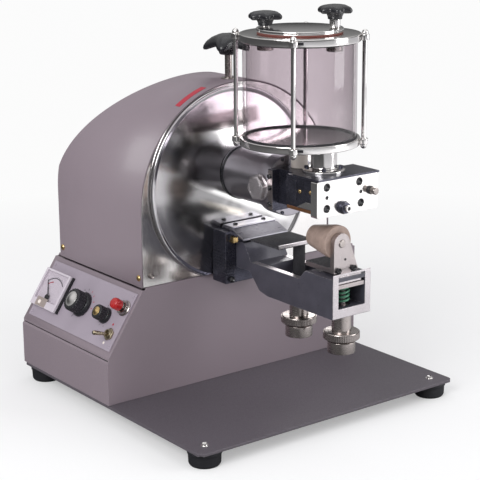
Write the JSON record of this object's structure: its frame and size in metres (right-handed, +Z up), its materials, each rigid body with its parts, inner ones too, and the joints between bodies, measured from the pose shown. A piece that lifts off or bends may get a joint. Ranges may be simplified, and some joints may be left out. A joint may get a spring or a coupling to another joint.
{
  "type": "capsule filler",
  "caption": "Bench-top motor-driven capsule filler with a clear lidded hopper, a gear metering pump and an adjustable tray and press roller.",
  "frame": {"origin": "on the bench, in the middle of the footprint of the whole machine, its toggle lever included; the base plate's own centre line lies 4.5 mm to the right", "axes": "+Z up, -Y towards the operator's side where the filling head overhangs, +X to the right seen from that side; the console's slope with the controls faces -X"},
  "size_m": [0.439, 0.4634, 0.546],
  "materials": {
    "grey_paint": "satin grey-mauve stove enamel",
    "base_paint": "satin dark grey enamel",
    "panel_grey": "pale lilac-grey printed panel",
    "rubber": "matt black rubber",
    "polished_steel": "mirror-polished stainless steel",
    "turned_steel": "turned bright steel",
    "ear_steel": "ground stainless steel",
    "dark_steel": "dark oiled steel",
    "slate_casting": "slate-grey hammered enamel on a casting",
    "brass": "machined brass",
    "black_plastic": "moulded black phenolic",
    "red_plastic": "moulded red plastic",
    "gasket_red": "red-brown silicone",
    "ivory_plastic": "ivory plastic",
    "clear_acrylic": "clear cast acrylic",
    "tan_rubber": "tan rubber",
    "green_enamel": "green enamel"
  },
  "bodies": {
    "frame": {"arm_bracket": "slate_casting", "base_plate": "base_paint", "bearing_front": "turned_steel", "bearing_rear": "turned_steel", "bulkhead": "slate_casting", "chute": "polished_steel", "console_shell": "grey_paint", "control_panel": "panel_grey", "cover_dish": "polished_steel", "drive_belt": "rubber", "foot_back_left": "rubber", "foot_back_right": "rubber", "foot_front_left": "rubber", "foot_front_right": "rubber", "front_plate": "polished_steel", "gear_motor": "slate_casting", "head_bracket": "dark_steel", "hood_shell": "grey_paint", "hopper_base": "polished_steel", "hopper_cylinder": "clear_acrylic", "hopper_neck": "polished_steel", "hopper_post": "ivory_plastic", "hopper_top": "polished_steel", "lower_arm": "slate_casting", "meter_case": "ivory_plastic", "nozzle": "turned_steel", "oil_plug": "turned_steel", "press_spring": "green_enamel", "pump_body": "dark_steel", "pump_cover": "polished_steel", "pump_top_plate": "dark_steel", "speed_controller": "green_enamel", "spindle_housing": "dark_steel", "tie_rod_back_left": "polished_steel", "tie_rod_back_right": "polished_steel", "tie_rod_front_left": "polished_steel", "tie_rod_front_right": "polished_steel", "toggle_body": "turned_steel"},
    "spindle": {"main_shaft": "turned_steel", "main_pulley": "slate_casting", "drive_gear": "brass"},
    "motor_drive": {"motor_pulley": "turned_steel"},
    "idler": {"idler_gear": "brass"},
    "speed_knob": {"speed_knob": "black_plastic"},
    "range_knob": {"range_knob": "black_plastic"},
    "start_button": {"start_button": "red_plastic"},
    "toggle_lever": {"toggle_lever": "turned_steel"},
    "meter_needle": {"meter_needle": "dark_steel"},
    "hood_clamp": {"hood_knob": "black_plastic", "hood_stem": "turned_steel"},
    "lid": {"hopper_lid": "polished_steel", "lid_gasket": "gasket_red"},
    "lid_knob_left": {"lid_knob_left": "black_plastic"},
    "lid_knob_right": {"lid_knob_right": "black_plastic"},
    "clevis": {"clevis": "ear_steel", "roller_pin": "turned_steel"},
    "roller": {"roller": "tan_rubber"},
    "front_nut": {"front_nut": "turned_steel"},
    "rear_nut": {"rear_nut": "turned_steel"},
    "tray": {"tray": "dark_steel"}
  },
  "joints": [
    {"name": "spindle_spin", "type": "hinge", "parent": "frame", "child": "spindle", "pos_m": [0.00747, 0.00575, 0.312], "axis": [0, 1, 0], "continuous": true},
    {"name": "motor_spin", "type": "hinge", "parent": "frame", "child": "motor_drive", "pos_m": [0.07447, 0.00575, 0.092], "axis": [0, 1, 0], "continuous": true},
    {"name": "idler_spin", "type": "hinge", "parent": "frame", "child": "idler", "pos_m": [0.02806, 0.00575, 0.312], "axis": [0, 1, 0], "continuous": true},
    {"name": "speed_knob_turn", "type": "hinge", "parent": "frame", "child": "speed_knob", "pos_m": [-0.17958, 0.11225, 0.13146], "axis": [-0.8266, 0, 0.5628], "range_deg": [-300, 0]},
    {"name": "range_knob_turn", "type": "hinge", "parent": "frame", "child": "range_knob", "pos_m": [-0.18014, 0.05265, 0.13064], "axis": [-0.8266, 0, 0.5628], "range_deg": [-300, 0]},
    {"name": "button_press", "type": "slide", "parent": "frame", "child": "start_button", "axis": [0.8266, 0, -0.5628], "range_m": [0, 0.003]},
    {"name": "toggle_flip", "type": "hinge", "parent": "frame", "child": "toggle_lever", "pos_m": [-0.19416, 0.02575, 0.11538], "axis": [0, 1, 0], "range_deg": [0, 34]},
    {"name": "needle_swing", "type": "hinge", "parent": "frame", "child": "meter_needle", "pos_m": [-0.18577, 0.18925, 0.12237], "axis": [-0.8266, 0, 0.5628], "range_deg": [-80, 0]},
    {"name": "hood_knob_turn", "type": "hinge", "parent": "frame", "child": "hood_clamp", "pos_m": [0.00747, 0.02675, 0.48], "axis": [0, 0, 1], "range_deg": [-720, 0]},
    {"name": "lid_lift", "type": "slide", "parent": "frame", "child": "lid", "axis": [0, 0, 1], "range_m": [0, 0.12]},
    {"name": "lid_knob_left_turn", "type": "hinge", "parent": "lid", "child": "lid_knob_left", "pos_m": [-0.02198, -0.09055, 0.53], "axis": [0, 0, 1], "range_deg": [0, 1440]},
    {"name": "lid_knob_right_turn", "type": "hinge", "parent": "lid", "child": "lid_knob_right", "pos_m": [0.03691, -0.15595, 0.53], "axis": [0, 0, 1], "range_deg": [-1440, 0]},
    {"name": "front_nut_turn", "type": "hinge", "parent": "frame", "child": "front_nut", "pos_m": [0.00747, -0.20825, 0.13], "axis": [0, 0, 1], "range_deg": [-720, 720]},
    {"name": "clevis_slide", "type": "slide", "parent": "frame", "child": "clevis", "axis": [0, 0, 1], "range_m": [-0.0031, 0.0031], "deforming": ["press_spring"]},
    {"name": "roller_spin", "type": "hinge", "parent": "clevis", "child": "roller", "pos_m": [-0.00003, 0.00575, 0.257], "axis": [0, 1, 0], "continuous": true},
    {"name": "rear_nut_turn", "type": "hinge", "parent": "frame", "child": "rear_nut", "pos_m": [0.00747, -0.12325, 0.13], "axis": [0, 0, 1], "range_deg": [-720, 720]},
    {"name": "tray_slide", "type": "slide", "parent": "frame", "child": "tray", "axis": [0, 0, 1], "range_m": [-0.0031, 0.0031]}
  ],
  "couplings": [
    {"joint": "motor_spin", "follows": "spindle_spin", "ratio": 3},
    {"joint": "idler_spin", "follows": "spindle_spin", "ratio": -1},
    {"joint": "clevis_slide", "follows": "front_nut_turn", "m_per_rad": 0.00023873},
    {"joint": "tray_slide", "follows": "rear_nut_turn", "m_per_rad": 0.00023873}
  ]
}
